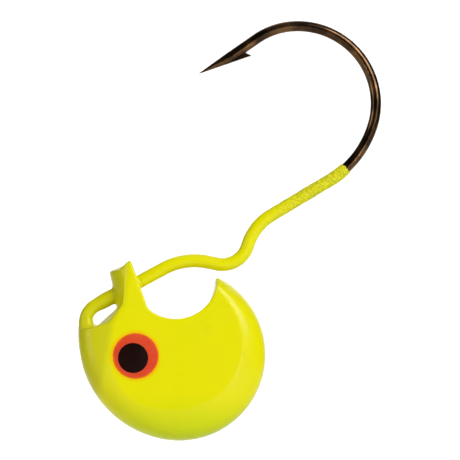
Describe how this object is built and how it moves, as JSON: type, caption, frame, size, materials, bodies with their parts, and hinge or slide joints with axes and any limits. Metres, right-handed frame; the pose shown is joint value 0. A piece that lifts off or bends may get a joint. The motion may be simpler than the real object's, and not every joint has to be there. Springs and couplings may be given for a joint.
{
  "type": "jig head",
  "caption": "Flattened round lead jig head with a scooped top, painted eyes, an in-line wire line tie and a cranked single hook with a barb.",
  "frame": {"origin": "middle of the line tie's opening, in the hook's plane", "axes": "+X from the line tie back towards the hook's bend, +Y through the head to the right cheek, +Z from the keel up to the hook's bend"},
  "size_m": [0.027, 0.005, 0.0376],
  "materials": {
    "bronzed_steel": "dark bronzed high-carbon steel wire, smooth",
    "lead": "cast lead, dull grey, hidden under paint",
    "chartreuse_paint": "gloss chartreuse powder paint",
    "orange_paint": "gloss fluorescent orange paint dab",
    "black_paint": "gloss black paint dab"
  },
  "bodies": {
    "root": {"hook": "bronzed_steel", "lead_head": "lead", "head_coat": "chartreuse_paint", "eye_coat": "chartreuse_paint", "shank_coat": "chartreuse_paint", "left_iris": "orange_paint", "right_iris": "orange_paint", "left_pupil": "black_paint", "right_pupil": "black_paint"}
  },
  "joints": []
}
